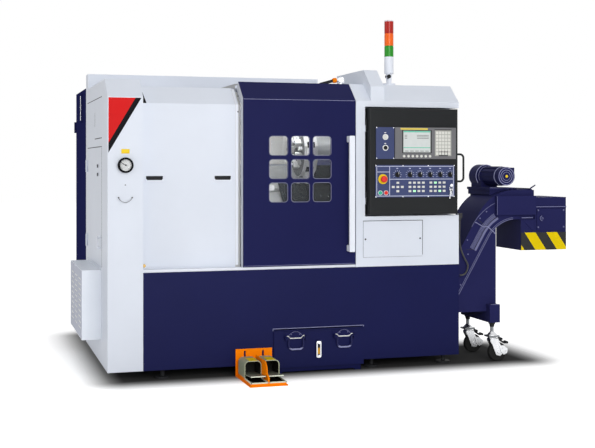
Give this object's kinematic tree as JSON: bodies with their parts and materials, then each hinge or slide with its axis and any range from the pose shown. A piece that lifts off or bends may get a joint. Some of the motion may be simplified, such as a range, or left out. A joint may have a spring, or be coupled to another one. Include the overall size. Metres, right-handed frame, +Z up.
{
  "type": "cnc turning lathe",
  "caption": "Enclosed slant-bed CNC turning lathe with sliding windowed door, swing-out console, coolant tank, swan-neck chip conveyor, signal tower and foot pedal.",
  "frame": {"origin": "centre of the bounding box on the floor", "axes": "+X to the operator's right along the spindle, +Y to the back, +Z up"},
  "size_m": [3.117, 2.279, 2.205],
  "materials": {
    "navy_paint": "satin dark blue enamel",
    "white_paint": "satin white enamel",
    "dark_plastic": "matt black plastic",
    "steel": "machined steel",
    "cast_iron": "scraped casting, painted grey",
    "chrome": "bright plated",
    "glass": "clear laminated",
    "grey_plastic": "grey moulding",
    "screen": "flat display",
    "panel_blue": "printed blue panel, bare of words",
    "key_white": "white keys",
    "red": "red plastic",
    "amber": "amber plastic",
    "green": "green plastic",
    "orange_paint": "orange enamel",
    "tread_steel": "bare steel",
    "tyre": "hard rubber",
    "conduit": "dark grey sheath"
  },
  "bodies": {
    "machine": {"base_frame": "navy_paint", "leveling_feet": "steel", "left_column": "white_paint", "left_side_panel": "white_paint", "vent_cover": "white_paint", "headstock_cover": "white_paint", "flush_pulls": "dark_plastic", "door_track": "white_paint", "right_front_panel": "white_paint", "rear_panel": "white_paint", "roof_cover": "white_paint", "electrical_cabinet": "navy_paint", "pressure_gauge": "dark_plastic", "signal_base": "white_paint", "signal_green": "green", "signal_amber": "amber", "signal_red": "red", "slant_bed": "cast_iron", "headstock": "cast_iron", "bulkhead": "white_paint", "conveyor_body": "navy_paint", "conveyor_head": "navy_paint", "gearmotor": "navy_paint", "pedal_stand": "orange_paint", "supply_conduit": "conduit", "caster_mounts": "steel"},
    "door": {"front_door": "navy_paint", "door_glass": "glass", "door_handle": "white_paint"},
    "side_door": {"left_access_door": "white_paint"},
    "rear_cabinet_door": {"cabinet_door": "navy_paint"},
    "console": {"console_housing": "dark_plastic", "display_unit": "grey_plastic", "display_screen": "screen", "operator_panel": "panel_blue", "panel_keys": "key_white"},
    "power_on": {"power_on_button": "key_white"},
    "power_off": {"power_off_button": "dark_plastic"},
    "emergency_stop": {"estop_button": "red"},
    "cycle_start": {"cycle_start_button": "green"},
    "feed_hold": {"feed_hold_button": "red"},
    "spindle": {"spindle_chuck": "steel"},
    "saddle": {"carriage": "cast_iron"},
    "turret_slide": {"cross_slide": "cast_iron"},
    "turret": {"turret_disc": "steel"},
    "tank": {"coolant_tank": "navy_paint"},
    "bail_left": {"tank_handle_left": "chrome"},
    "bail_right": {"tank_handle_right": "chrome"},
    "fork_front": {"caster_fork_front": "chrome"},
    "fork_rear": {"caster_fork_rear": "chrome"},
    "wheel_front": {"caster_wheel_front": "tyre"},
    "wheel_rear": {"caster_wheel_rear": "tyre"},
    "tread_left": {"pedal_left": "tread_steel"},
    "tread_right": {"pedal_right": "tread_steel"},
    "selector_1": {"selector_knob_1": "dark_plastic"},
    "selector_2": {"selector_knob_2": "dark_plastic"},
    "selector_3": {"selector_knob_3": "dark_plastic"},
    "selector_4": {"selector_knob_4": "dark_plastic"},
    "selector_5": {"selector_knob_5": "dark_plastic"},
    "selector_6": {"selector_knob_6": "dark_plastic"}
  },
  "joints": [
    {"name": "door_slide", "type": "slide", "parent": "machine", "child": "door", "axis": [-1, 0, 0], "range_m": [0, 0.57]},
    {"name": "side_door_hinge", "type": "hinge", "parent": "machine", "child": "side_door", "pos_m": [-1.4508, 0.31025, 1], "axis": [0, 0, -1], "range_deg": [0, 100]},
    {"name": "cabinet_door_hinge", "type": "hinge", "parent": "machine", "child": "rear_cabinet_door", "pos_m": [-1.4505, 1.1325, 1], "axis": [0, 0, -1], "range_deg": [0, 105]},
    {"name": "console_hinge", "type": "hinge", "parent": "machine", "child": "console", "pos_m": [0.1455, -0.7875, 1.285], "axis": [0, 0, -1], "range_deg": [0, 90]},
    {"name": "estop_push", "type": "slide", "parent": "console", "child": "emergency_stop", "axis": [0, 1, 0], "range_m": [0, 0.006], "stiffness_N_per_m": 600},
    {"name": "spindle_turn", "type": "hinge", "parent": "machine", "child": "spindle", "pos_m": [-0.9435, -0.3805, 1.12], "axis": [1, 0, 0], "continuous": true},
    {"name": "saddle_slide", "type": "slide", "parent": "machine", "child": "saddle", "axis": [1, 0, 0], "range_m": [-0.24, 0.3]},
    {"name": "cross_slide_travel", "type": "slide", "parent": "saddle", "child": "turret_slide", "axis": [0, 0.7071, 0.7071], "range_m": [-0.09, 0.06]},
    {"name": "turret_index", "type": "hinge", "parent": "turret_slide", "child": "turret", "pos_m": [-0.0635, -0.15413, 1.3463], "axis": [1, 0, 0], "continuous": true},
    {"name": "tank_slide", "type": "slide", "parent": "machine", "child": "tank", "axis": [0, -1, 0], "range_m": [0, 0.65]},
    {"name": "bail_left_hinge", "type": "hinge", "parent": "tank", "child": "bail_left", "pos_m": [-0.3135, -0.8058, 0.216], "axis": [-1, 0, 0], "range_deg": [0, 90]},
    {"name": "bail_right_hinge", "type": "hinge", "parent": "tank", "child": "bail_right", "pos_m": [-0.0035, -0.8058, 0.216], "axis": [-1, 0, 0], "range_deg": [0, 90]},
    {"name": "power_on_push", "type": "slide", "parent": "console", "child": "power_on", "axis": [0, 1, 0], "range_m": [0, 0.004], "stiffness_N_per_m": 400},
    {"name": "power_off_push", "type": "slide", "parent": "console", "child": "power_off", "axis": [0, 1, 0], "range_m": [0, 0.004], "stiffness_N_per_m": 400},
    {"name": "cycle_start_push", "type": "slide", "parent": "console", "child": "cycle_start", "axis": [0, 1, 0], "range_m": [0, 0.004], "stiffness_N_per_m": 400},
    {"name": "feed_hold_push", "type": "slide", "parent": "console", "child": "feed_hold", "axis": [0, 1, 0], "range_m": [0, 0.004], "stiffness_N_per_m": 400},
    {"name": "selector_1_turn", "type": "hinge", "parent": "console", "child": "selector_1", "pos_m": [0.3335, -0.8315, 1.203], "axis": [0, -1, 0], "range_deg": [-135, 135]},
    {"name": "selector_2_turn", "type": "hinge", "parent": "console", "child": "selector_2", "pos_m": [0.4175, -0.8315, 1.203], "axis": [0, -1, 0], "range_deg": [-135, 135]},
    {"name": "selector_3_turn", "type": "hinge", "parent": "console", "child": "selector_3", "pos_m": [0.4855, -0.8315, 1.203], "axis": [0, -1, 0], "range_deg": [-135, 135]},
    {"name": "selector_4_turn", "type": "hinge", "parent": "console", "child": "selector_4", "pos_m": [0.5535, -0.8315, 1.203], "axis": [0, -1, 0], "range_deg": [-135, 135]},
    {"name": "selector_5_turn", "type": "hinge", "parent": "console", "child": "selector_5", "pos_m": [0.6215, -0.8315, 1.203], "axis": [0, -1, 0], "range_deg": [-135, 135]},
    {"name": "selector_6_turn", "type": "hinge", "parent": "console", "child": "selector_6", "pos_m": [0.6895, -0.8315, 1.203], "axis": [0, -1, 0], "range_deg": [-135, 135]},
    {"name": "caster_front_swivel", "type": "hinge", "parent": "machine", "child": "fork_front", "pos_m": [1.0185, -0.7545, 0.14], "axis": [0, 0, 1], "continuous": true},
    {"name": "caster_front_roll", "type": "hinge", "parent": "fork_front", "child": "wheel_front", "pos_m": [1.0525, -0.7545, 0.061], "axis": [0, 1, 0], "continuous": true},
    {"name": "caster_rear_swivel", "type": "hinge", "parent": "machine", "child": "fork_rear", "pos_m": [1.0185, -0.3965, 0.14], "axis": [0, 0, 1], "continuous": true},
    {"name": "caster_rear_roll", "type": "hinge", "parent": "fork_rear", "child": "wheel_rear", "pos_m": [1.0525, -0.3965, 0.061], "axis": [0, 1, 0], "continuous": true},
    {"name": "tread_left_press", "type": "hinge", "parent": "machine", "child": "tread_left", "pos_m": [-0.62625, -0.8425, 0.03], "axis": [1, 0, 0], "range_deg": [0, 7], "stiffness_Nm_per_rad": 12},
    {"name": "tread_right_press", "type": "hinge", "parent": "machine", "child": "tread_right", "pos_m": [-0.51775, -0.8425, 0.03], "axis": [1, 0, 0], "range_deg": [0, 7], "stiffness_Nm_per_rad": 12}
  ]
}
